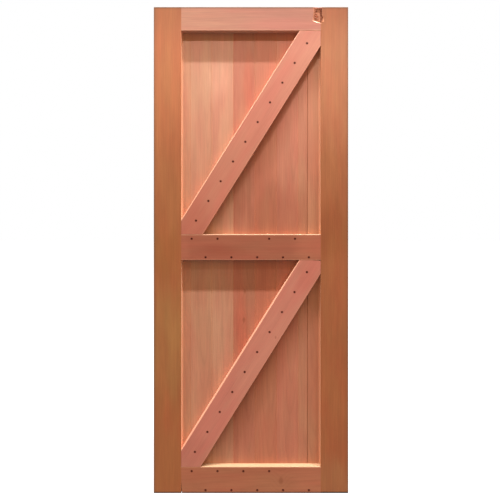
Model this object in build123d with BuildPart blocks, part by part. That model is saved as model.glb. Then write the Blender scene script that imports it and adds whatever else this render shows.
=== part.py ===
from build123d import *
import math
import os

os.makedirs("parts", exist_ok=True)

# Framed, ledged and braced door leaf, in millimetres. X runs to the right as seen from the
# ledge side, Z is up and the ledge side faces -Y. The origin is the middle of the leaf's foot.
leaf_width = 813.0
leaf_height = 2032.0
leaf_thickness = 44.0

# Frame members
stile_width = 115.0
top_rail_width = 99.0
middle_ledge_width = 107.5
middle_ledge_foot = 973.5
bottom_ledge_width = 109.5
arris = 1.5

# Braces: each end meets a ledge or the rail over one length and a stile over the other
upper_foot_on_ledge = 90.5
upper_foot_on_stile = 63.0
upper_head_on_rail = 88.0
upper_head_on_stile = 63.0
lower_foot_on_ledge = 81.5
lower_foot_on_stile = 72.0
lower_head_on_ledge = 89.0
lower_head_on_stile = 57.5

# Matchboards, tongued and grooved into each other, the stiles and the top rail
board_thickness = 16.0
left_board_cover = 34.5
narrow_board_cover = 39.1
right_board_cover = 52.9
full_boards = 5
open_joint = 1.5
tongue_thickness = 5.0
tongue_length = 6.0
tongue_play = 1.0
v_joint = 3.0
back_arris = 1.0

# Wedged through mortise-and-tenon joints
tenon_thickness = 14.0
tenon_shoulder = 10.0
top_tenon_height = 55.0
middle_tenon_height = 70.0
bottom_tenon_height = 60.0
haunch_depth = 12.0
wedge_thickness = 5.0
wedge_tip = 1.0

# Nails, punched below the ledge side
nail_head_radius = 2.8
nail_head_sides = 12
nail_head_thickness = 1.5
nail_shank = 2.6
nail_length = 38.0
nail_point_length = 4.0
nail_point_width = 0.6
punch_depth = 2.0
ledge_nails_in_row = 5
ledge_nail_left_end = 43.5
ledge_nail_right_end = 49.5
ledge_nail_stagger = 58.0
ledge_nail_below_top = 18.0
ledge_nail_above_foot = 12.0
missing_middle_nail = 2
missing_bottom_nail = 4
brace_nails = 10
brace_nail_foot_end = 31.0
brace_nail_head_end = 25.0

# Damage seen on the leaf
tear_width = 33.0
tear_height = 60.0
tear_notch = 3.0
tear_tail = 9.0
tear_shallow_side = 2.5
tear_deep_side = 8.0
tear_slope = 5.0
tear_over_top = 12.0
split_width = 6.0
split_depth = 13.0
lip_width = 9.0
lip_height = 22.0
lip_depth = 8.0
shoulder_gap = 3.0
shoulder_gap_height = 54.0
brace_head_gap = 2.5
brace_head_gap_length = 43.0

# Sizes that follow
half_width = leaf_width / 2
half_thickness = leaf_thickness / 2
opening_half = half_width - stile_width
opening_width = 2 * opening_half
ledge_thickness = leaf_thickness - board_thickness
boards_back = half_thickness - board_thickness
rail_foot = leaf_height - top_rail_width
middle_ledge_top = middle_ledge_foot + middle_ledge_width
middle_ledge_middle = middle_ledge_foot + middle_ledge_width / 2
groove_depth = tongue_length + tongue_play
tongue_middle = half_thickness - board_thickness / 2
top_tenon_foot = rail_foot + tenon_shoulder
middle_tenon_foot = middle_ledge_middle - middle_tenon_height / 2
bottom_tenon_foot = bottom_ledge_width - tenon_shoulder - bottom_tenon_height
top_haunch_height = leaf_height - top_tenon_foot - top_tenon_height
head_seat = half_thickness - punch_depth - nail_head_thickness
point_start = half_thickness - punch_depth - nail_length + nail_point_length
tenon_joints = (
    (top_tenon_foot, top_tenon_height),
    (middle_tenon_foot, middle_tenon_height),
    (bottom_tenon_foot, bottom_tenon_height),
)
panels = (
    (bottom_ledge_width, middle_ledge_foot),
    (middle_ledge_top, rail_foot),
)

# The centre lines of the braces, from the middle of the cut foot to the middle of the cut head
upper_foot_middle = (
    upper_foot_on_ledge / 2 - opening_half,
    middle_ledge_top + upper_foot_on_stile / 2,
)
upper_head_middle = (
    opening_half - upper_head_on_rail / 2,
    rail_foot - upper_head_on_stile / 2,
)
lower_foot_middle = (
    lower_foot_on_ledge / 2 - opening_half,
    bottom_ledge_width + lower_foot_on_stile / 2,
)
lower_head_middle = (
    opening_half - lower_head_on_ledge / 2,
    middle_ledge_foot - lower_head_on_stile / 2,
)

# Planes square to Y, with Z up the page: the ledge side, the back of the boards, the front
ledge_side = Plane.XZ.offset(half_thickness)
clear_of_ledge_side = Plane.XZ.offset(half_thickness + arris)
boards_back_plane = Plane.XZ.offset(-boards_back)
front_side = Plane.XZ.offset(-half_thickness)


# One nail, or the hole it has made, on the Y axis. The round of the head has twelve flats,
# the shank is square and its point is blunt. The hole's mouth starts clear of the wood.
def driven_nail(start):
    with BuildPart() as shape:
        with BuildSketch(Plane.XZ.offset(start)):
            RegularPolygon(radius=nail_head_radius, side_count=nail_head_sides)
        extrude(amount=head_seat - start)
        with BuildSketch(Plane.XZ.offset(head_seat)):
            Rectangle(nail_shank, nail_shank)
        extrude(amount=point_start - head_seat)
        with BuildSketch(Plane.XZ.offset(point_start)):
            Rectangle(nail_shank, nail_shank)
        with BuildSketch(Plane.XZ.offset(point_start - nail_point_length)):
            Rectangle(nail_point_width, nail_point_width)
        loft()
    return shape.part


nail = driven_nail(half_thickness - punch_depth)
nail_hole = driven_nail(half_thickness + arris)


def set_out(shape, places):
    with BuildPart() as group:
        with Locations(*places):
            add(shape)
    return group.part


# Two staggered rows of nails on a ledge; one nail of the upper row is not there
def ledge_nail_places(foot, width, missing):
    row_width = opening_width - ledge_nail_left_end - ledge_nail_right_end - ledge_nail_stagger
    pitch = row_width / (ledge_nails_in_row - 1)
    places = []
    for count in range(ledge_nails_in_row):
        x = ledge_nail_left_end - opening_half + count * pitch
        if count != missing:
            places.append((x, 0, foot + width - ledge_nail_below_top))
        places.append((x + ledge_nail_stagger, 0, foot + ledge_nail_above_foot))
    return places


# One straight line of nails up the middle of a brace
def brace_nail_places(foot_middle, head_middle):
    foot_x, foot_z = foot_middle
    head_x, head_z = head_middle
    run = head_x - foot_x
    rise = head_z - foot_z
    length = math.hypot(run, rise)
    first = brace_nail_foot_end / length
    last = 1 - brace_nail_head_end / length
    places = []
    for count in range(brace_nails):
        along = first + (last - first) * count / (brace_nails - 1)
        places.append((foot_x + along * run, 0, foot_z + along * rise))
    return places


middle_places = ledge_nail_places(middle_ledge_foot, middle_ledge_width, missing_middle_nail)
bottom_places = ledge_nail_places(0, bottom_ledge_width, missing_bottom_nail)
upper_places = brace_nail_places(upper_foot_middle, upper_head_middle)
lower_places = brace_nail_places(lower_foot_middle, lower_head_middle)
middle_holes = set_out(nail_hole, middle_places)
bottom_holes = set_out(nail_hole, bottom_places)
upper_holes = set_out(nail_hole, upper_places)
lower_holes = set_out(nail_hole, lower_places)

# The wood torn out of the top right corner, over the joint of top rail and closing stile.
# Its floor gets deeper towards the joint.
corner_x = opening_half
corner_z = leaf_height
tear_foot = corner_z - tear_height
floor_lean = math.atan2(tear_deep_side - tear_shallow_side, tear_width)
tear_mouth = Plane(
    origin=(corner_x, -half_thickness, 0),
    x_dir=(1, 0, 0),
    z_dir=(0, -1, 0),
)
tear_floor = Plane(
    origin=(corner_x, tear_deep_side - half_thickness, 0),
    x_dir=(math.cos(floor_lean), math.sin(floor_lean), 0),
    z_dir=(math.sin(floor_lean), -math.cos(floor_lean), 0),
)
with BuildPart() as tear:
    for plane, inset in ((tear_mouth, 0), (tear_floor, tear_slope)):
        with BuildSketch(plane):
            with BuildLine():
                Polyline(
                    (inset - tear_width, corner_z + tear_over_top),
                    (inset - tear_width + tear_notch, corner_z - tear_height / 3),
                    (inset - tear_width, corner_z - tear_height * 2 / 3),
                    (inset - tear_width, tear_foot + inset),
                    (-tear_width / 2, tear_foot - tear_tail / 2 + inset),
                    (split_width / 2, tear_foot - tear_tail + inset),
                    (split_width, corner_z + tear_over_top),
                    close=True,
                )
            make_face()
    loft()
    # a deeper split along the joint
    with BuildSketch(ledge_side):
        with BuildLine():
            Polyline(
                (corner_x, corner_z + tear_over_top),
                (corner_x, tear_foot),
                (corner_x + split_width - arris, tear_foot),
                (corner_x + split_width, corner_z + tear_over_top),
                close=True,
            )
        make_face()
    extrude(amount=-split_depth)
    # a sloping lip where fibres pulled out of the stile
    with BuildSketch(Plane.XY.offset(tear_foot - arris)):
        with BuildLine():
            Polyline(
                (corner_x + split_width / 2, -half_thickness),
                (corner_x + split_width + lip_width, -half_thickness),
                (corner_x + split_width / 2, lip_depth - half_thickness),
                close=True,
            )
        make_face()
    extrude(amount=lip_height)

# The left stile, which carries the hinges
with BuildPart() as hanging_stile:
    with BuildSketch():
        with Locations((-half_width + stile_width / 2, 0)):
            Rectangle(stile_width, leaf_thickness)
    extrude(amount=leaf_height)
    outer_edges = hanging_stile.faces().sort_by(Axis.X)[0].edges()
    top_edges = hanging_stile.edges().filter_by(Axis.X).group_by(Axis.Z)[-1]
    chamfer(outer_edges + top_edges, length=arris)
    # groove for the tongue of the boards
    with BuildSketch():
        with Locations((-opening_half - groove_depth / 2, tongue_middle)):
            Rectangle(groove_depth, tongue_thickness)
    extrude(amount=rail_foot + groove_depth, mode=Mode.SUBTRACT)
    # mortises, opening outwards for the wedges
    for tenon_foot, tenon_height in tenon_joints:
        with BuildSketch(boards_back_plane):
            with BuildLine():
                Polyline(
                    (-opening_half, tenon_foot),
                    (-opening_half, tenon_foot + tenon_height),
                    (-half_width, tenon_foot + tenon_height + wedge_thickness),
                    (-half_width, tenon_foot - wedge_thickness),
                    close=True,
                )
            make_face()
        extrude(amount=tenon_thickness, mode=Mode.SUBTRACT)
    # sockets for the haunches at the ends of the stile
    with BuildSketch(boards_back_plane):
        with Locations((-opening_half - haunch_depth / 2, leaf_height - top_haunch_height / 2)):
            Rectangle(haunch_depth, top_haunch_height)
        with Locations((-opening_half - haunch_depth / 2, bottom_tenon_foot / 2)):
            Rectangle(haunch_depth, bottom_tenon_foot)
    extrude(amount=tenon_thickness, mode=Mode.SUBTRACT)
    # arris along each panel on the ledge side
    for panel_foot, panel_head in panels:
        with BuildSketch(Plane.XY.offset(panel_foot)):
            with BuildLine():
                Polyline(
                    (-opening_half, -half_thickness),
                    (-opening_half - arris, -half_thickness),
                    (-opening_half, arris - half_thickness),
                    close=True,
                )
            make_face()
        extrude(amount=panel_head - panel_foot, mode=Mode.SUBTRACT)
hanging_stile.part.label = "hanging_stile"
export_step(hanging_stile.part, "parts/hanging_stile.step")

# The right stile is its mirror image, torn at the top
with BuildPart() as closing_stile:
    mirror(hanging_stile.part, about=Plane.YZ)
    add(tear.part, mode=Mode.SUBTRACT)
closing_stile.part.label = "closing_stile"
export_step(closing_stile.part, "parts/closing_stile.step")

# Top rail, as thick as the stiles, with tenons and haunches at both ends
with BuildPart() as top_rail:
    with BuildSketch(front_side):
        with Locations((0, leaf_height - top_rail_width / 2)):
            Rectangle(opening_width, top_rail_width)
    extrude(amount=leaf_thickness)
    long_edges = top_rail.edges().filter_by(Axis.X)
    foot_edge = long_edges.group_by(Axis.Z)[0].sort_by(Axis.Y)[0:1]
    chamfer(long_edges.group_by(Axis.Z)[-1] + foot_edge, length=arris)
    with BuildSketch(Plane.YZ.offset(-opening_half)):
        with Locations((tongue_middle, rail_foot + groove_depth / 2)):
            Rectangle(tongue_thickness, groove_depth)
    extrude(amount=opening_width, mode=Mode.SUBTRACT)
    with BuildSketch(boards_back_plane):
        with Locations((0, top_tenon_foot + top_tenon_height / 2)):
            Rectangle(leaf_width, top_tenon_height)
        with Locations((0, leaf_height - top_haunch_height / 2)):
            Rectangle(opening_width + 2 * haunch_depth, top_haunch_height)
    extrude(amount=tenon_thickness)
    add(tear.part, mode=Mode.SUBTRACT)
top_rail.part.label = "top_rail"
export_step(top_rail.part, "parts/top_rail.step")

# Middle ledge, thinner than the stiles, so that the boards run past in front of it
with BuildPart() as middle_ledge:
    with BuildSketch(boards_back_plane):
        with Locations((0, middle_ledge_middle)):
            Rectangle(opening_width, middle_ledge_width)
    extrude(amount=ledge_thickness)
    chamfer(middle_ledge.edges().filter_by(Axis.X).group_by(Axis.Y)[0], length=arris)
    with BuildSketch(boards_back_plane):
        with Locations((0, middle_ledge_middle)):
            Rectangle(leaf_width, middle_tenon_height)
    extrude(amount=tenon_thickness)
    add(middle_holes, mode=Mode.SUBTRACT)
middle_ledge.part.label = "middle_ledge"
export_step(middle_ledge.part, "parts/middle_ledge.step")

# Bottom ledge, with haunches below its tenons and an open shoulder on the hanging side
with BuildPart() as bottom_ledge:
    with BuildSketch(boards_back_plane):
        with Locations((0, bottom_ledge_width / 2)):
            Rectangle(opening_width, bottom_ledge_width)
    extrude(amount=ledge_thickness)
    ledge_edges = bottom_ledge.edges().filter_by(Axis.X).group_by(Axis.Y)[0]
    chamfer(ledge_edges.sort_by(Axis.Z)[-1:], length=arris)
    with BuildSketch(clear_of_ledge_side):
        with BuildLine():
            Polyline(
                (-opening_half, 0),
                (shoulder_gap - opening_half, 0),
                (-opening_half, shoulder_gap_height),
                close=True,
            )
        make_face()
    extrude(amount=-(ledge_thickness - tenon_thickness + arris), mode=Mode.SUBTRACT)
    with BuildSketch(boards_back_plane):
        with Locations((0, bottom_tenon_foot + bottom_tenon_height / 2)):
            Rectangle(leaf_width, bottom_tenon_height)
        with Locations((0, bottom_tenon_foot / 2)):
            Rectangle(opening_width + 2 * haunch_depth, bottom_tenon_foot)
    extrude(amount=tenon_thickness)
    add(bottom_holes, mode=Mode.SUBTRACT)
bottom_ledge.part.label = "bottom_ledge"
export_step(bottom_ledge.part, "parts/bottom_ledge.step")


# Six-sided brace from the hanging side at its foot to the closing side at its head. The
# middles of its cut ends give how far each end reaches along the ledge and up the stile.
def brace_blank(foot, head, foot_middle, head_middle):
    foot_x, foot_z = foot_middle
    head_x, head_z = head_middle
    foot_on_ledge = 2 * (foot_x + opening_half)
    foot_on_stile = 2 * (foot_z - foot)
    head_on_ledge = 2 * (opening_half - head_x)
    head_on_stile = 2 * (head - head_z)
    with BuildPart() as blank:
        with BuildSketch(boards_back_plane):
            with BuildLine():
                Polyline(
                    (-opening_half, foot),
                    (foot_on_ledge - opening_half, foot),
                    (opening_half, head - head_on_stile),
                    (opening_half, head),
                    (opening_half - head_on_ledge, head),
                    (-opening_half, foot + foot_on_stile),
                    close=True,
                )
            make_face()
        extrude(amount=ledge_thickness)
        face_edges = blank.edges().group_by(Axis.Y)[0]
        chamfer(face_edges.sort_by(SortBy.LENGTH)[-2:], length=arris)
    return blank.part


with BuildPart() as upper_brace:
    add(brace_blank(middle_ledge_top, rail_foot, upper_foot_middle, upper_head_middle))
    add(upper_holes, mode=Mode.SUBTRACT)
upper_brace.part.label = "upper_brace"
export_step(upper_brace.part, "parts/upper_brace.step")

# The head of the lower brace is cut a little short at its right end
with BuildPart() as lower_brace:
    add(
        brace_blank(
            bottom_ledge_width, middle_ledge_foot, lower_foot_middle, lower_head_middle
        )
    )
    with BuildSketch(boards_back_plane):
        with BuildLine():
            Polyline(
                (opening_half - brace_head_gap_length, middle_ledge_foot),
                (opening_half, middle_ledge_foot - brace_head_gap),
                (opening_half, middle_ledge_foot),
                close=True,
            )
        make_face()
    extrude(amount=ledge_thickness, mode=Mode.SUBTRACT)
    add(lower_holes, mode=Mode.SUBTRACT)
lower_brace.part.label = "lower_brace"
export_step(lower_brace.part, "parts/lower_brace.step")

# Matchboards from left to right. The first has a tongue on both edges, each of the others a
# groove on its left edge, and the last stands off a little at the open joint.
full_board_cover = (
    opening_width - left_board_cover - narrow_board_cover - right_board_cover
) / full_boards
covers = (
    [left_board_cover]
    + [full_board_cover] * full_boards
    + [narrow_board_cover, right_board_cover]
)
board_length = rail_foot + tongue_length
shoulder_depth = (board_thickness - tongue_thickness) / 2
left_edge = -opening_half
for number, cover in enumerate(covers, start=1):
    right_edge = left_edge + cover
    if number == len(covers):
        left_edge += open_joint
    width = right_edge - left_edge
    middle_x = (left_edge + right_edge) / 2
    with BuildPart() as board:
        with BuildSketch():
            with Locations((middle_x, tongue_middle)):
                Rectangle(width, board_thickness)
            rows = vertices().group_by(Axis.Y)
            chamfer(rows[-1], length=v_joint)
            chamfer(rows[0], length=back_arris)
            with Locations((right_edge + tongue_length / 2, tongue_middle)):
                Rectangle(tongue_length, tongue_thickness)
            if number == 1:
                with Locations((left_edge - tongue_length / 2, tongue_middle)):
                    Rectangle(tongue_length, tongue_thickness)
            else:
                with Locations((left_edge + groove_depth / 2, tongue_middle)):
                    Rectangle(groove_depth, tongue_thickness, mode=Mode.SUBTRACT)
        extrude(amount=board_length)
        # shoulders of the end tongue that enters the top rail
        with BuildSketch(Plane.XY.offset(rail_foot)):
            with Locations(
                (middle_x, boards_back + shoulder_depth / 2),
                (middle_x, half_thickness - shoulder_depth / 2),
            ):
                Rectangle(width, shoulder_depth)
        extrude(amount=tongue_length, mode=Mode.SUBTRACT)
        add(middle_holes, mode=Mode.SUBTRACT)
        add(bottom_holes, mode=Mode.SUBTRACT)
        add(upper_holes, mode=Mode.SUBTRACT)
        add(lower_holes, mode=Mode.SUBTRACT)
    board.part.label = f"board_{number}"
    export_step(board.part, f"parts/board_{number}.step")
    left_edge = right_edge

# Wedges above and below each tenon, driven in from the outer edges of the stiles
wedge_start = opening_half + stile_width * wedge_tip / wedge_thickness
for name, (tenon_foot, tenon_height) in zip(
    ("top_rail_wedges", "middle_ledge_wedges", "bottom_ledge_wedges"), tenon_joints
):
    tenon_head = tenon_foot + tenon_height
    with BuildPart() as wedges:
        with BuildSketch(boards_back_plane):
            with BuildLine():
                Polyline(
                    (wedge_start, tenon_head),
                    (half_width, tenon_head),
                    (half_width, tenon_head + wedge_thickness),
                    (wedge_start, tenon_head + wedge_tip),
                    close=True,
                )
            make_face()
        extrude(amount=tenon_thickness)
        mirror(about=Plane.YZ)
        mirror(about=Plane.XY.offset((tenon_foot + tenon_head) / 2))
    wedges.part.label = name
    export_step(wedges.part, f"parts/{name}.step")

# Nails, one group for each piece that they hold to the boards
for name, places in (
    ("middle_ledge_nails", middle_places),
    ("bottom_ledge_nails", bottom_places),
    ("upper_brace_nails", upper_places),
    ("lower_brace_nails", lower_places),
):
    nails = set_out(nail, places)
    nails.label = name
    export_step(nails, f"parts/{name}.step")
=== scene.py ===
import math
import random
from collections import namedtuple

import bpy
from mathutils import Matrix, Vector


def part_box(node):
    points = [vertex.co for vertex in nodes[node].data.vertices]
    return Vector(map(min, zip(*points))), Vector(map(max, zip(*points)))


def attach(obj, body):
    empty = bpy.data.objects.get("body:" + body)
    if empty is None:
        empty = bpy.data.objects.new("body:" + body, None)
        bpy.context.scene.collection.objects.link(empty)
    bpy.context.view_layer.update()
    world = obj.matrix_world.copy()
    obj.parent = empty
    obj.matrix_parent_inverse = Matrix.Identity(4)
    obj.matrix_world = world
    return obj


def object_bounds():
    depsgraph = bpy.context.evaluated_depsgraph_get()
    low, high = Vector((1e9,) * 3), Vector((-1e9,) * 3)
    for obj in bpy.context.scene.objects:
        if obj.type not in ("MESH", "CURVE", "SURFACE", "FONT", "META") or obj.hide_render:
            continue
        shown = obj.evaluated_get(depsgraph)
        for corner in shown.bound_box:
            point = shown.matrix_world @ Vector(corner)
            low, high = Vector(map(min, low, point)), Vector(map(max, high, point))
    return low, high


# Looks of the framed, ledged and braced leaf: woods, nails, the torn corner, light and camera.
# Lengths are in metres.
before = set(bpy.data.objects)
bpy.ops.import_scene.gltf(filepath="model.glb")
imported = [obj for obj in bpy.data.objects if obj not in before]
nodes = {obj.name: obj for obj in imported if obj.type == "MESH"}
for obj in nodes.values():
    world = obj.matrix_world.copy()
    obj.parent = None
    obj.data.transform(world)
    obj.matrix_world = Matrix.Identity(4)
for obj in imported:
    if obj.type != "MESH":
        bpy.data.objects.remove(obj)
cad_low, cad_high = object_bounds()

# Places from the frame
face_y = cad_low.y
foot_z = cad_low.z
top_z = cad_high.z
side_x = cad_high.x
joint_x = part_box("closing_stile")[0].x
rail_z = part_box("top_rail")[0].z


# Colours


def linear(r, g, b):
    """An 8-bit screen colour as the linear colour that a shader takes."""
    def one(v):
        v /= 255
        return v / 12.92 if v <= 0.04045 else ((v + 0.055) / 1.055) ** 2.4
    return (one(r), one(g), one(b), 1.0)


def scaled(colour, tint):
    """A linear colour with each channel multiplied."""
    return tuple(min(channel * share, 1.0) for channel, share in zip(colour, tint)) + (1.0,)


# Node trees


class Tree:
    """A node tree, with short calls for the nodes used here."""

    def __init__(self, tree):
        self.tree = tree
        self.tree.nodes.clear()

    def add(self, kind):
        return self.tree.nodes.new("ShaderNode" + kind)

    def put(self, socket, value):
        if isinstance(value, bpy.types.NodeSocket):
            self.tree.links.new(value, socket)
        else:
            socket.default_value = value

    def math(self, operation, a, b=0.0, c=0.0):
        node = self.add("Math")
        node.operation = operation
        for socket, value in zip(node.inputs, (a, b, c)):
            self.put(socket, value)
        return node.outputs[0]

    def times(self, *values):
        product = values[0]
        for value in values[1:]:
            product = self.math("MULTIPLY", product, value)
        return product

    def vector(self, operation, a, b=(0, 0, 0)):
        node = self.add("VectorMath")
        node.operation = operation
        self.put(node.inputs[0], a)
        self.put(node.inputs[1], b)
        return node.outputs["Value" if operation in ("LENGTH", "DOT_PRODUCT") else "Vector"]

    def split(self, vector):
        node = self.add("SeparateXYZ")
        self.put(node.inputs[0], vector)
        return node.outputs[0], node.outputs[1], node.outputs[2]

    def join(self, x, y, z):
        node = self.add("CombineXYZ")
        for socket, value in zip(node.inputs, (x, y, z)):
            self.put(socket, value)
        return node.outputs[0]

    def noise(self, vector, detail=2.0, roughness=0.5):
        node = self.add("TexNoise")
        self.put(node.inputs["Vector"], vector)
        node.inputs["Scale"].default_value = 1.0
        node.inputs["Detail"].default_value = detail
        node.inputs["Roughness"].default_value = roughness
        return node.outputs["Fac"]

    def step(self, value, low, high, to_low=0.0, to_high=1.0):
        """A value from low..high to to_low..to_high, smoothly and clamped."""
        node = self.add("MapRange")
        node.interpolation_type = "SMOOTHSTEP"
        for name, given in (("Value", value), ("From Min", low), ("From Max", high),
                            ("To Min", to_low), ("To Max", to_high)):
            self.put(node.inputs[name], given)
        return node.outputs["Result"]

    def fall(self, value, low, high, strength=1.0):
        """The other way round: full strength up to low, and 0 from high on."""
        return self.step(value, low, high, strength, 0.0)

    def beyond(self, value, place, soft=0.0005):
        """1 where the value is past a place, 0 short of it."""
        return self.step(value, place - soft, place + soft)

    def short_of(self, value, place, soft=0.0005):
        """1 where the value is short of a place, 0 past it."""
        return self.fall(value, place - soft, place + soft)

    def ramp(self, value, stops):
        node = self.add("ValToRGB")
        self.put(node.inputs[0], value)
        while len(node.color_ramp.elements) < len(stops):
            node.color_ramp.elements.new(0.5)
        for element, (position, colour) in zip(node.color_ramp.elements, stops):
            element.position = position
            element.color = colour
        return node.outputs[0]

    def mix(self, factor, a, b, blend="MIX"):
        node = self.add("Mix")
        node.data_type = "RGBA"
        node.blend_type = blend
        self.put(node.inputs["Factor"], factor)
        self.put(node.inputs["A"], a)
        self.put(node.inputs["B"], b)
        return node.outputs["Result"]

    def seen(self):
        """1 for what the camera sees, straight or through something clear, and 0 for other light."""
        path = self.add("LightPath")
        return self.math("MAXIMUM", path.outputs["Is Camera Ray"], path.outputs["Is Transmission Ray"])


class Shader(Tree):
    """A material's node tree."""

    def __init__(self, name):
        self.material = bpy.data.materials.new(name)
        self.material.use_nodes = True
        super().__init__(self.material.node_tree)
        self.out = self.add("OutputMaterial")
        self.place = self.add("TexCoord").outputs["Object"]
        self.normal = self.add("NewGeometry").outputs["Normal"]

    def finish(self, colour, roughness, height, strength, distance, gloss):
        """A surface with a bump of some strength and distance, joined to the output."""
        bump = self.add("Bump")
        bump.inputs["Strength"].default_value = strength
        bump.inputs["Distance"].default_value = distance
        self.put(bump.inputs["Height"], height)
        surface = self.add("BsdfPrincipled")
        self.put(surface.inputs["Base Color"], colour)
        self.put(surface.inputs["Roughness"], roughness)
        surface.inputs["Specular IOR Level"].default_value = gloss
        self.put(surface.inputs["Normal"], bump.outputs[0])
        self.put(self.out.inputs[0], surface.outputs[0])
        return self.material


def dress(node, material):
    """Puts one material on a whole node."""
    for material_slot in nodes[node].material_slots:
        material_slot.material = material


# Figure of the wood: noise drawn out along the grain. Across and along say how finely it varies to
# a metre, and the offset keeps the fields apart.
Field = namedtuple("Field", "across along detail roughness offset")
BEND = Field(5.0, 1.1, 1.0, 0.5, 0.0)
WAVE = Field(14.0, 2.6, 1.0, 0.5, 4.0)
HUE = Field(19.0, 4.2, 2.0, 0.5, 31.0)
BROAD = Field(30.0, 4.5, 2.0, 0.5, 9.0)
STREAKS = Field(120.0, 3.0, 2.0, 0.55, 13.0)
FLECKS = Field(170.0, 16.0, 2.0, 0.6, 23.0)
FIBRE = Field(700.0, 12.0, 2.0, 0.6, 17.0)
WANDER = Field(30.0, 6.0, 2.0, 0.5, 41.0)
SEED_SHIFT = (3.17, 1.71, 5.43)

# Growth rings: how many to a metre, where the middle of the tree lay across and behind the piece,
# how it leans, how far slow noise bends the rings, and the tones across one ring
RINGS = 150.0
PITH = (0.02, 0.09)
PITH_LEAN = (0.004, 0.03)
BEND_REACH = 0.035
WAVE_REACH = 0.016
WAVE_TURNS = 1.2
RING_TONES = tuple((place, (tone, tone, tone, 1.0)) for place, tone in
                   ((0.0, 0.45), (0.2, 0.7), (0.65, 0.6), (0.92, 0.2)))

# How much the rings and each field add to the lightness of the wood
RING_LIGHT, BROAD_LIGHT, STREAK_LIGHT, FLECK_LIGHT, FIBRE_LIGHT = 1.3, 0.30, 0.22, 0.16, 0.20

# Knots: how drawn out they are, how far and by how much they push the rings aside, and where their
# dark core is full and gone, the last three in knot sizes
KNOT_DRAWN, KNOT_REACH, KNOT_PUSH = 0.6, 3.2, 0.9
KNOT_CORE = (0.3, 0.9)

# Colours of the wood, of what lies on it, and of painted highlights and shade
TAN, RED = (1.0, 1.06, 1.04), (1.01, 0.92, 0.94)
# painted highlight for faces that look up
TOP_HIGHLIGHT = linear(186, 156, 122)
KNOT = linear(116, 60, 34)
END_GRAIN = linear(138, 84, 52)
STAIN = linear(92, 30, 16)
# painted highlight on the boards' arrises
BOARD_ARRIS_HIGHLIGHT = linear(214, 146, 112)
# painted highlight on the arrises of rails, ledges and braces
ARRIS_HIGHLIGHT = linear(255, 200, 168)
# painted highlight beside the stiles on the outer boards
MARGIN_HIGHLIGHT = linear(240, 186, 154)
# painted highlight on the stiles' inner edges
INNER_EDGE_HIGHLIGHT = linear(252, 198, 164)
# painted shade on the rounded outer edges
SIDE_SHADE = linear(92, 70, 48)
SHADED = linear(52, 32, 20)
# inside the tear: raw wood, painted shade deeper in, and a painted highlight on faces that look up
RAW, RECESS_SHADE, TEAR_TOP_HIGHLIGHT = linear(204, 142, 114), linear(136, 76, 54), linear(226, 184, 154)
# blobs and shreds of torn wood, and a painted highlight on the lip in the stile
BLOB, SHRED, LIP_HIGHLIGHT = linear(196, 134, 106), linear(128, 70, 46), linear(228, 166, 132)

# Where a colour is full and where it is gone: a stain from its nail and from the face, a painted arris
# highlight from the piece's side, and a painted highlight on a stile's edge from the joint. A board's painted
# highlight beside its stile begins and is full here.
STAIN_RADIUS = (0.0036, 0.0066)
STAIN_DEPTH = (0.004, 0.006)
ARRIS_WIDTH = (0.002, 0.0055)
EDGE_DEPTH = (0.003, 0.006)
MARGIN_WIDTH = (0.0055, 0.003)

# Darker rims of the leaf, painted shade along the rounded sides, a darker top and a painted contact shadow at
# the foot: how far in each begins and is full, and its strength. The one at the foot is full up to the first
# height and gone at the second.
SIDE_RIMS = ((0.016, 0.007, 0.3), (0.008, 0.003, 1.1))
TOP_RIMS = ((0.012, 0.005, 0.3), (0.0065, 0.003, 1.5))
FOOT_RIM = (0.003, 0.0075)

# The tear at the top of the joint: its reach into the rail and the stile, down, and back from the face, where
# its front and its painted lit lip begin, and between which depths it darkens with painted shade
TEAR_RAIL, TEAR_STILE = 0.034, 0.0165
TEAR_DOWN, TEAR_BACK = 0.070, 0.015
TEAR_FRONT, TEAR_FRONT_SOFT = 0.0005, 0.0003
TEAR_LIP = 0.006
TEAR_SHADE = (0.0055, 0.0115)

Patch = namedtuple("Patch", "x z wide high tint")
Knot = namedtuple("Knot", "x z size")


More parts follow.
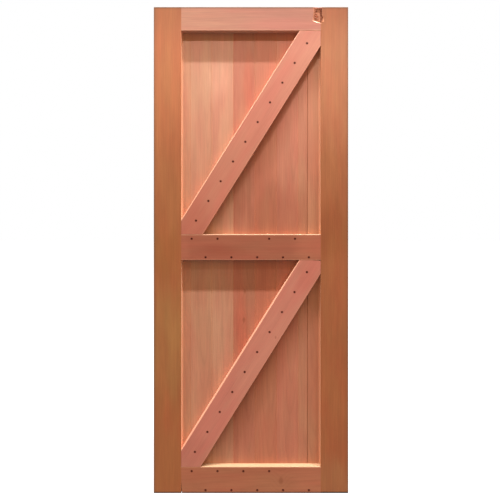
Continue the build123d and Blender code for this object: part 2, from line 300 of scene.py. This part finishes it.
class Timber(Shader):
    """The wood of one piece, built up as layers of colour."""

    def __init__(self, name, turn, seed):
        super().__init__(name)
        self.turn = turn
        self.shift = [seed * share for share in SEED_SHIFT]
        rotate = self.add("VectorRotate")
        rotate.rotation_type = "Y_AXIS"
        rotate.inputs["Angle"].default_value = turn
        self.put(rotate.inputs["Vector"], self.place)
        self.across, self.through, self.along = self.split(rotate.outputs[0])
        self.x, self.y, self.z = self.split(self.place)
        self.nx, self.ny, self.nz = self.split(self.normal)
        self.streaks = self.stretched(STREAKS)
        self.fibre = self.stretched(FIBRE)
        self.roughness = self.math("MULTIPLY_ADD", self.streaks, 0.16, 0.62)

    def stretched(self, field):
        """Noise drawn out along the grain, from -0.5 to 0.5."""
        place = self.join(
            self.math("MULTIPLY_ADD", self.across, field.across, self.shift[0] + field.offset),
            self.math("MULTIPLY_ADD", self.through, field.across, self.shift[1]),
            self.math("MULTIPLY_ADD", self.along, field.along, self.shift[2]),
        )
        return self.math("SUBTRACT", self.noise(place, field.detail, field.roughness), 0.5)

    def lay(self, mask, colour, strength=1.0):
        """Covers what lies below with a colour where the mask is 1."""
        self.colour = self.mix(self.times(mask, strength), self.colour, colour)

    def from_knot(self, knot):
        """Distance from a knot, which is longer up the leaf than across it."""
        flat = self.vector("MULTIPLY", self.place, (1.0, 0.0, KNOT_DRAWN))
        return self.vector("LENGTH", self.vector("SUBTRACT", flat, (knot.x, 0, knot.z * KNOT_DRAWN)))

    def growth_rings(self, pith, knots):
        """Rings round the pith line, bent by slow noise and by the knots."""
        wave = self.stretched(WAVE)
        beside = self.math("SUBTRACT", self.across, pith[0])
        beside = self.math("MULTIPLY_ADD", self.along, -PITH_LEAN[0], beside)
        beside = self.math("MULTIPLY_ADD", self.stretched(BEND), BEND_REACH, beside)
        behind = self.math("SUBTRACT", self.through, pith[1])
        behind = self.math("MULTIPLY_ADD", self.along, -PITH_LEAN[1], behind)
        behind = self.math("MULTIPLY_ADD", wave, WAVE_REACH, behind)
        squares = self.math("ADD", self.times(beside, beside), self.times(behind, behind))
        radius = self.math("POWER", squares, 0.5)
        for knot in knots:
            near = self.fall(self.from_knot(knot), 0.0, knot.size * KNOT_REACH)
            radius = self.math("MULTIPLY_ADD", near, knot.size * KNOT_PUSH, radius)
        turns = self.math("MULTIPLY_ADD", radius, RINGS, self.times(wave, WAVE_TURNS))
        self.ring = self.ramp(self.math("FRACT", turns), RING_TONES)

    def hues(self, base, patches):
        """Drift between tan and red, and larger patches with a tint: most are paler or darker wood, and the
        highest one on each stile is a painted pool of light.
        """
        drift = self.step(self.stretched(HUE), -0.2, 0.2)
        self.colour = self.mix(drift, scaled(base, TAN), scaled(base, RED))
        ragged = self.times(self.stretched(WANDER), 0.9)
        for patch in patches:
            far = self.join(self.math("MULTIPLY_ADD", self.x, 1 / patch.wide, -patch.x / patch.wide), 0.0,
                            self.math("MULTIPLY_ADD", self.z, 1 / patch.high, -patch.z / patch.high))
            far = self.math("ADD", self.vector("LENGTH", far), ragged)
            tint = patch.tint + (1.0,)
            self.colour = self.mix(self.fall(far, 0.35, 1.25), self.colour, tint, "MULTIPLY")

    def tones(self, ring_share, contrast):
        """Lightness in rings, streaks and flecks."""
        tone = self.math("MULTIPLY_ADD", self.math("SUBTRACT", self.ring, 0.5), ring_share * RING_LIGHT, 1.0)
        for field, light in ((self.stretched(BROAD), BROAD_LIGHT), (self.streaks, STREAK_LIGHT),
                             (self.stretched(FLECKS), FLECK_LIGHT), (self.fibre, FIBRE_LIGHT)):
            tone = self.math("MULTIPLY_ADD", field, light * contrast, tone)
        self.colour = self.mix(1.0, self.colour, self.join(tone, tone, tone), "MULTIPLY")

    def dark_knots(self, knots):
        """Knots are darker in the middle."""
        full, gone = KNOT_CORE
        dark = 0.0
        for knot in knots:
            core = self.fall(self.from_knot(knot), knot.size * full, knot.size * gone)
            dark = self.math("ADD", dark, core)
        self.lay(dark, KNOT, strength=0.35)

    def end_grain(self):
        """Sawn ends are darker."""
        grain = (math.sin(-self.turn), 0.0, math.cos(self.turn))
        end = self.math("ABSOLUTE", self.vector("DOT_PRODUCT", self.normal, grain))
        self.lay(self.step(end, 0.8, 0.97), END_GRAIN, strength=0.35)

    def top_highlight(self):
        """Faces that look up are paler: a painted highlight of the light from above."""
        facing_up = self.step(self.nz, 0.45, 0.9)
        # how strongly the painted highlight lies varies with the grain
        thickness = self.step(self.fibre, -0.3, 0.2, 0.7, 0.95)
        self.lay(self.times(facing_up, thickness), TOP_HIGHLIGHT)

    def nail_stains(self, nails):
        """Rust has stained the wood round each nail."""
        full, gone = STAIN_DEPTH
        on_face = self.vector("MULTIPLY", self.place, (1.0, 0.0, 1.0))
        stained = 0.0
        for x, z in nails:
            distance = self.vector("LENGTH", self.vector("SUBTRACT", on_face, (x, 0, z)))
            stained = self.math("MAXIMUM", stained, self.fall(distance, *STAIN_RADIUS, 0.92))
        self.lay(self.times(stained, self.fall(self.y, face_y + full, face_y + gone)), STAIN)

    def board_arris_highlights(self):
        """The boards' arrises get a little painted highlight."""
        sideways = self.math("ABSOLUTE", self.nx)
        slanting = self.times(self.step(sideways, 0.35, 0.6), self.fall(sideways, 0.8, 0.95))
        self.lay(slanting, BOARD_ARRIS_HIGHLIGHT, strength=0.35)

    def arrises(self, strengths, sides):
        """Painted highlights on the arrises along the two long sides of a rail, ledge or brace."""
        for strength, side, inward in zip(strengths, sides, (1, -1)):
            if strength:
                near = self.math("MULTIPLY_ADD", self.across, inward, -inward * side)
                self.lay(self.fall(near, *ARRIS_WIDTH), ARRIS_HIGHLIGHT, strength)

    def margin_highlight(self, hand):
        """An outer board gets a painted highlight beside its stile."""
        start, full = MARGIN_WIDTH
        margin = self.step(self.times(self.x, hand), joint_x - start, joint_x - full)
        self.lay(margin, MARGIN_HIGHLIGHT, strength=0.6)

    def inner_edge_highlight(self, hand):
        """The stile's edge that faces the boards gets a painted highlight."""
        full, gone = EDGE_DEPTH
        facing = self.step(self.times(self.nx, hand), 0.78, 0.9)
        inside = self.fall(self.math("ABSOLUTE", self.x), joint_x + full, joint_x + gone)
        self.lay(self.times(facing, inside), INNER_EDGE_HIGHLIGHT, strength=0.9)

    def rims(self, foot):
        """The face is darker along its outer edges with painted shade where the rounded edges turn from the
        light, darker along the top, and darker at the foot with a painted contact shadow.
        """
        in_front = self.fall(self.ny, -0.9, -0.6)
        out = self.math("ABSOLUTE", self.x)
        rim = 0.0
        # painted shade along the rounded outer edges
        for start, full, strength in SIDE_RIMS:
            rim = self.math("MAXIMUM", rim, self.step(out, side_x - start, side_x - full, 0.0, strength))
        self.lay(self.times(rim, in_front), SIDE_SHADE, strength=0.5)
        full, gone = FOOT_RIM
        # painted contact shadow at the foot, and a darker top
        rim = self.fall(self.z, foot_z + full, foot_z + gone, foot)
        for start, full, strength in TOP_RIMS:
            rim = self.math("MAXIMUM", rim, self.step(self.z, top_z - start, top_z - full, 0.0, strength))
        self.lay(self.times(rim, in_front), SHADED, strength=0.55)

    def tear(self):
        """Raw wood inside the torn corner, with painted shade deeper in and painted highlights on the faces
        that look up and on the lip in the stile.
        """
        inside = self.times(
            self.beyond(self.x, joint_x - TEAR_RAIL),
            self.short_of(self.x, joint_x + TEAR_STILE),
            self.beyond(self.z, top_z - TEAR_DOWN),
            self.beyond(self.y, face_y + TEAR_FRONT, TEAR_FRONT_SOFT),
            self.short_of(self.y, face_y + TEAR_BACK))
        blobs = self.noise(self.vector("MULTIPLY", self.place, (150.0, 150.0, 260.0)))
        shreds = self.noise(self.vector("MULTIPLY", self.place, (260.0, 300.0, 900.0)), 3.0, 0.6)
        start, full = TEAR_SHADE
        # painted shade deeper in the tear
        raw = self.mix(self.step(self.y, face_y + start, face_y + full), RAW, RECESS_SHADE)
        raw = self.mix(self.times(self.step(blobs, 0.42, 0.6), 0.4), raw, BLOB)
        raw = self.mix(self.times(self.step(shreds, 0.5, 0.66), 0.5), raw, SHRED)
        # painted highlight on faces that look up
        raw = self.mix(self.step(self.nz, 0.25, 0.5), raw, TEAR_TOP_HIGHLIGHT)
        # painted highlight on the lip in the stile
        lip = self.times(self.beyond(self.x, joint_x + TEAR_LIP), self.fall(self.nx, -0.75, -0.35))
        self.lay(inside, self.mix(lip, raw, LIP_HIGHLIGHT))
        self.roughness = self.math("MAXIMUM", self.roughness, self.times(inside, 0.85))


def timber(name, turn, seed, base, pith=PITH, ring_share=0.10, contrast=1.0, patches=(), knots=(),
           nails=(), board=False, arris=(), sides=(), margin=0.0, inner=0.0, edge=False, foot=1.4,
           torn=False):
    """Stained, satin softwood.

    turn is the angle in the XZ plane from the grain to the vertical, seed sets its figure apart,
    base is its colour, and ring_share and contrast say how strong its rings and streaks are.
    Patches, knots and nails are places on the leaf's face. arris says how strong the painted highlights on
    the arrises at the two sides are. margin is the hand on which a board meets its stile, where it gets a
    painted highlight, and inner the hand on which a stile meets the boards, where its edge gets a painted
    highlight. edge is for pieces at the rim of the leaf, which get painted shade along their rounded sides
    and are darker along the top, foot says how dark the painted contact shadow at the bottom is, and torn is
    for the two pieces that the tear is in."""
    wood = Timber(name, turn, seed)
    wood.growth_rings(pith, knots)
    wood.hues(base, patches)
    wood.tones(ring_share, contrast)
    if knots:
        wood.dark_knots(knots)
    wood.end_grain()
    # painted highlight on faces that look up
    wood.top_highlight()
    if nails:
        wood.nail_stains(nails)
    # painted highlight on the boards' arrises
    if board:
        wood.board_arris_highlights()
    # painted highlights on the arrises
    wood.arrises(arris, sides)
    # painted highlight beside the stile on an outer board
    if margin:
        wood.margin_highlight(margin)
    # painted highlight on the stile's inner edge
    if inner:
        wood.inner_edge_highlight(inner)
    # painted shade along the rounded sides, a darker top and a painted contact shadow at the foot
    if edge:
        wood.rims(foot)
    if torn:
        wood.tear()
    height = wood.math("MULTIPLY_ADD", wood.fibre, 0.6, wood.times(wood.ring, 0.35))
    return wood.finish(wood.colour, wood.roughness, height, strength=0.22, distance=0.0005, gloss=0.4)


# What the frame says about each timber


def lean(name):
    """A brace's lean, from the ends of its lower edge."""
    touching = 1e-5
    low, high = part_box(name)
    points = [vertex.co for vertex in nodes[name].data.vertices]
    foot = max(point.x for point in points if point.z < low.z + touching)
    head = min(point.z for point in points if point.x > high.x - touching)
    return -math.atan2(high.x - foot, head - low.z)


def edges_across(name, turn):
    """Where a piece's two long edges lie across its grain, on the face of the leaf."""
    near_face = face_y + 0.006
    to_grain = Matrix.Rotation(turn, 3, "Y")
    across = [(to_grain @ vertex.co).x for vertex in nodes[name].data.vertices if vertex.co.y < near_face]
    return min(across), max(across)


def nail_places(name):
    """The middles of the nail heads of one group, as x and z."""
    head_width, flatness = 0.008, 0.0002
    points = [vertex.co for vertex in nodes[name].data.vertices]
    front = min(point.y for point in points) + flatness
    heads = []
    for point in points:
        if point.y > front:
            continue
        for head in heads:
            if abs(head[0].x - point.x) < head_width and abs(head[0].z - point.z) < head_width:
                head.append(point)
                break
        else:
            heads.append([point])
    return [(sum(p.x for p in head) / len(head), sum(p.z for p in head) / len(head)) for head in heads]


# The look of each timber
UPRIGHT = 0.0
LEVEL = math.radians(90)
BOARD_PITH = (0.012, -0.05)
WEDGE = linear(168, 108, 72)
REDDER = (1.02, 0.82, 0.80)
LIGHTER = (1.10, 1.20, 1.22)
DUSKY = (0.84, 0.78, 0.74)
OVER_LEDGE = (Patch(0.12, 1.16, 0.20, 0.16, DUSKY),)
PALER_LEFT = (Patch(-0.14, 1.73, 0.06, 0.10, LIGHTER),
              Patch(-0.13, 0.68, 0.06, 0.18, (1.06, 1.12, 1.14)))
RED_FIGURE = (Patch(-0.012, 1.72, 0.03, 0.16, REDDER),
              Patch(-0.04, 0.70, 0.035, 0.17, REDDER))

LOOKS = {
    "hanging_stile": dict(
        turn=UPRIGHT, seed=1, base=linear(158, 98, 60), inner=1.0, edge=True,
        # the first patch is a painted pool of light near the top of the stile
        patches=(Patch(-0.35, 1.73, 0.3, 0.28, (1.12, 1.10, 1.14)),
                 Patch(-0.36, 0.62, 0.10, 0.26, (1.0, 1.26, 1.22)),
                 Patch(-0.37, 1.00, 0.10, 0.12, (0.93, 0.98, 0.86)))),
    "closing_stile": dict(
        # the painted contact shadow at the foot is stronger here
        turn=UPRIGHT, seed=2, base=linear(156, 95, 60), inner=-1.0, edge=True, foot=2.0, torn=True,
        # the first patch is a painted pool of light and sheen near the top of the stile
        patches=(Patch(0.35, 1.72, 0.3, 0.32, (1.12, 1.24, 1.42)),
                 Patch(0.34, 1.10, 0.10, 0.15, (0.88, 0.86, 0.76)),
                 Patch(0.35, 0.06, 0.10, 0.10, (1.02, 1.22, 1.32)))),
    "top_rail": dict(
        turn=LEVEL, seed=3, base=linear(172, 119, 101), torn=True, edge=True, arris=(0.25, 0.0),
        patches=(Patch(-0.22, 1.97, 0.14, 0.08, (1.04, 1.10, 1.06)),
                 Patch(0.16, 1.98, 0.2, 0.09, (1.0, 0.92, 0.96)))),
    "middle_ledge": dict(
        turn=LEVEL, seed=4, base=linear(155, 93, 72), contrast=0.8, arris=(0.15, 0.2),
        patches=(Patch(-0.12, 1.015, 0.11, 0.03, (0.95, 0.86, 0.84)),
                 Patch(-0.28, 1.02, 0.03, 0.06, (1.1, 1.14, 1.14)),
                 Patch(0.26, 1.03, 0.09, 0.09, (1.18, 1.2, 1.2)))),
    "bottom_ledge": dict(
        turn=LEVEL, seed=5, base=linear(166, 107, 81), contrast=0.8, edge=True,
        knots=(Knot(0.125, 0.052, 0.014),),
        patches=(Patch(0.25, 0.05, 0.08, 0.09, (1.1, 1.1, 1.12)),)),
    "upper_brace": dict(
        seed=6, base=linear(182, 117, 98), contrast=0.6, ring_share=0.05, arris=(0.65, 0.14),
        patches=(Patch(0.24, 1.90, 0.12, 0.12, (1.05, 1.10, 1.12)),
                 Patch(-0.26, 1.12, 0.12, 0.14, (0.92, 0.86, 0.84)))),
    "lower_brace": dict(
        seed=7, base=linear(191, 126, 111), contrast=0.7, ring_share=0.05, arris=(0.55, 0.12),
        knots=(Knot(0.103, 0.651, 0.006),),
        patches=(Patch(-0.25, 0.16, 0.1, 0.12, (0.90, 0.86, 0.86)),
                 Patch(0.26, 0.93, 0.1, 0.1, (0.94, 0.88, 0.86)))),
    "board_1": dict(turn=UPRIGHT, seed=8, base=linear(180, 130, 104), margin=-1.0),
    "board_2": dict(turn=UPRIGHT, seed=8, base=linear(181, 131, 106), patches=PALER_LEFT),
    "board_3": dict(turn=UPRIGHT, seed=8, base=linear(183, 131, 107), patches=PALER_LEFT),
    "board_4": dict(
        turn=UPRIGHT, seed=11, base=linear(174, 113, 91),
        knots=(Knot(-0.026, 0.839, 0.008), Knot(-0.030, 0.718, 0.010)),
        patches=RED_FIGURE + PALER_LEFT + OVER_LEDGE),
    "board_5": dict(turn=UPRIGHT, seed=11, base=linear(176, 113, 89), patches=OVER_LEDGE),
    "board_6": dict(turn=UPRIGHT, seed=13, base=linear(180, 117, 95), patches=OVER_LEDGE),
    "board_7": dict(turn=UPRIGHT, seed=13, base=linear(179, 122, 97), patches=OVER_LEDGE),
    "board_8": dict(turn=UPRIGHT, seed=13, base=linear(181, 125, 98), margin=1.0),
    "top_rail_wedges": dict(turn=LEVEL, seed=16, base=WEDGE),
    "middle_ledge_wedges": dict(turn=LEVEL, seed=17, base=WEDGE),
    "bottom_ledge_wedges": dict(turn=LEVEL, seed=18, base=WEDGE),
}


def dress_timbers():
    """Completes each look from the frame and puts it on its node."""
    for name, given in LOOKS.items():
        look = dict(given)
        if name.endswith("brace"):
            look["turn"] = lean(name)
        if name.startswith("board"):
            low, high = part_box(name)
            look["board"] = True
            look["pith"] = ((low.x + high.x) / 2 + BOARD_PITH[0], BOARD_PITH[1])
        if "arris" in look:
            look["sides"] = edges_across(name, look["turn"])
        if name + "_nails" in nodes:
            look["nails"] = nail_places(name + "_nails")
        dress(name, timber("wood_" + name, **look))


# Nails


def dress_nails():
    """Dark, rusted steel on the nails."""
    shader = Shader("rusted_steel")
    blotch = shader.noise(shader.vector("MULTIPLY", shader.place, (900.0, 900.0, 900.0)), 3.0, 0.6)
    colour = shader.ramp(blotch, ((0.3, linear(34, 4, 2)), (0.6, linear(50, 9, 4)), (0.8, linear(70, 18, 8))))
    roughness = shader.step(blotch, 0.3, 0.8, 0.65, 0.9)
    steel = shader.finish(colour, roughness, blotch, strength=0.4, distance=0.0003, gloss=0.15)
    for name in nodes:
        if name.endswith("_nails"):
            dress(name, steel)


# Torn corner


def torn_wood():
    """Fresh, blotchy wood of the slivers."""
    shader = Shader("torn_wood")
    blobs = shader.noise(shader.vector("MULTIPLY", shader.place, (160.0, 160.0, 300.0)))
    colour = shader.ramp(blobs, ((0.35, linear(128, 72, 50)), (0.5, linear(172, 108, 84)),
                                 (0.7, linear(206, 142, 114))))
    return shader.finish(colour, 0.85, blobs, strength=0.3, distance=0.0005, gloss=0.3)


def torn_fibres():
    """Slivers left standing in the torn corner, most along the rail, some along the stile."""
    rail_slivers, rail_fan, rail_thickness = 16, 0.054, 0.0022
    stile_slivers, stile_gap, stile_thickness = 5, 0.001, 0.0016
    crest_down, crest_width, crest_thickness = 0.003, 0.0052, 0.005
    corner = Vector((joint_x, face_y, top_z))
    rng = random.Random(4)
    vertices, faces = [], []

    def sliver(start, way, length, width, thickness):
        """Flat, tapered shard with a square root and a ragged point."""
        way = way.normalized()
        side = way.cross(Vector((0, 1, 0))).normalized() * width / 2
        deep = Vector((0, thickness / 2, 0))
        first = len(vertices)
        for share, along in ((1.0, 0.0), (0.8, 0.55), (0.15, 1.0)):
            middle = start + way * length * along
            for a, b in ((-1, -1), (1, -1), (1, 1), (-1, 1)):
                vertices.append(middle + side * a * share + deep * b * share)
        for ring in (first, first + 4):
            for k in range(4):
                n = (k + 1) % 4
                faces.append((ring + k, ring + n, ring + 4 + n, ring + 4 + k))
        faces.append((first + 3, first + 2, first + 1, first))
        faces.append((first + 8, first + 9, first + 10, first + 11))

    for count in range(rail_slivers):
        down = 0.003 + rail_fan * count / rail_slivers + rng.uniform(-0.001, 0.001)
        start = corner + Vector((0.001 - TEAR_RAIL, rng.uniform(0.0022, 0.0042), -down))
        way = Vector((1, rng.uniform(0.02, 0.16), rng.uniform(-0.12, 0.12)))
        sliver(start, way, rng.uniform(0.012, 0.029), rng.uniform(0.0018, 0.004), rail_thickness)
    for count in range(stile_slivers):
        right, up = 0.0035 + stile_gap * count, -0.062 + 0.004 * count
        start = corner + Vector((right, rng.uniform(0.004, 0.006), up))
        sliver(start, Vector((-0.03, 0.05, 1)), rng.uniform(0.02, 0.04), stile_thickness, stile_thickness)
    # the crest that still bridges the top of the tear, from both ends
    start = corner + Vector((-0.002 - TEAR_RAIL, 0.0040, -crest_down))
    sliver(start, Vector((1, 0.06, 0)), 0.048, crest_width, crest_thickness)
    start = corner + Vector((TEAR_STILE, 0.0045, -crest_down))
    sliver(start, Vector((-1, 0.02, 0)), 0.040, crest_width, crest_thickness)

    mesh = bpy.data.meshes.new("torn_fibres")
    mesh.from_pydata(vertices, [], faces)
    mesh.materials.append(torn_wood())
    piece = bpy.data.objects.new("torn_fibres", mesh)
    bpy.context.scene.collection.objects.link(piece)
    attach(piece, "root")


# Floor, world, lamps and camera


def lay_floor():
    """Floor that is white to the camera but keeps the leaf's shadow."""
    size, gap, shade, glow_strength = 40.0, 0.0005, 0.12, 0.95
    bpy.ops.mesh.primitive_plane_add(size=size, location=(0, 0, foot_z - gap))
    floor = bpy.context.object
    floor.name = "floor"
    shader = Shader("floor_white")
    matt = shader.add("BsdfDiffuse")
    matt.inputs["Color"].default_value = (shade, shade, shade, 1)
    glow = shader.add("Emission")
    shader.put(glow.inputs["Strength"], shader.times(shader.seen(), glow_strength))
    both = shader.add("AddShader")
    shader.put(both.inputs[0], matt.outputs[0])
    shader.put(both.inputs[1], glow.outputs[0])
    shader.put(shader.out.inputs[0], both.outputs[0])
    floor.data.materials.append(shader.material)


def build_world():
    """Even, warm light, and plain white where the camera sees it."""
    strength, tint, white = 0.79, (1.0, 0.60, 0.29, 1), (1, 1, 1, 1)
    world = bpy.data.worlds.new("studio")
    bpy.context.scene.world = world
    world.use_nodes = True
    tree = Tree(world.node_tree)
    out = tree.add("OutputWorld")
    sky = tree.add("Background")
    seen = tree.seen()
    tree.put(sky.inputs["Strength"], tree.step(seen, 0.0, 1.0, strength, 1.0))
    tree.put(sky.inputs["Color"], tree.mix(seen, tint, white))
    tree.put(out.inputs[0], sky.outputs[0])


def strip(name, place, aim, length, depth, power, spread=180.0):
    """Long lamp lying along X, which gives crisp shadows to level edges and soft ones to others."""
    data = bpy.data.lights.new(name, "AREA")
    data.shape = "RECTANGLE"
    data.size = length
    data.size_y = depth
    data.spread = math.radians(spread)
    data.energy = power
    lamp = bpy.data.objects.new(name, data)
    bpy.context.scene.collection.objects.link(lamp)
    lamp.location = place
    lamp.rotation_mode = "QUATERNION"
    lamp.rotation_quaternion = (Vector(aim) - Vector(place)).to_track_quat("-Z", "Y")


def light_leaf():
    """Steep and slanting strips in front, each a far one for the whole leaf and a near one for its
    upper panel, and one strip behind."""
    middle_z = top_z / 2
    panel_z = 1.72
    strip("steep", place=(1.5, -3.0, rail_z + 13.4), aim=(1.5, face_y, middle_z),
          length=13.2, depth=0.3, power=5000.0)
    strip("steep_top", place=(0.2, -0.37, rail_z + 1.5), aim=(0.2, face_y, rail_z - 0.2),
          length=2.7, depth=0.04, power=17.5)
    strip("front", place=(1.0, -3.2, rail_z + 3.87), aim=(1.0, face_y, middle_z),
          length=8.0, depth=0.2, power=50.0)
    strip("front_top", place=(0.15, -0.8, rail_z + 0.97), aim=(0.15, face_y, panel_z),
          length=1.4, depth=0.03, power=1.15, spread=26.0)
    strip("back", place=(0, 2.6, top_z + 1.2), aim=(0, 0, middle_z),
          length=3.0, depth=1.5, power=110.0)


def place_camera():
    """Square on to the leaf, a little above its middle, with the shift that centres it."""
    distance, aside, above = 2.0, -0.0041, 0.141
    picture, metres_per_pixel, sensor = 500, 0.00418, 36.0
    view_height = picture * metres_per_pixel
    data = bpy.data.cameras.new("camera")
    data.sensor_width = sensor
    data.lens = sensor * distance / view_height
    data.shift_y = -above / view_height
    camera = bpy.data.objects.new("camera", data)
    bpy.context.scene.collection.objects.link(camera)
    camera.location = (aside, face_y - distance, top_z / 2 + above)
    camera.rotation_euler = (math.radians(90), 0, 0)
    bpy.context.scene.camera = camera


dress_timbers()
dress_nails()
torn_fibres()
lay_floor()
build_world()
light_leaf()
place_camera()
bpy.context.scene.view_settings.view_transform = "Standard"
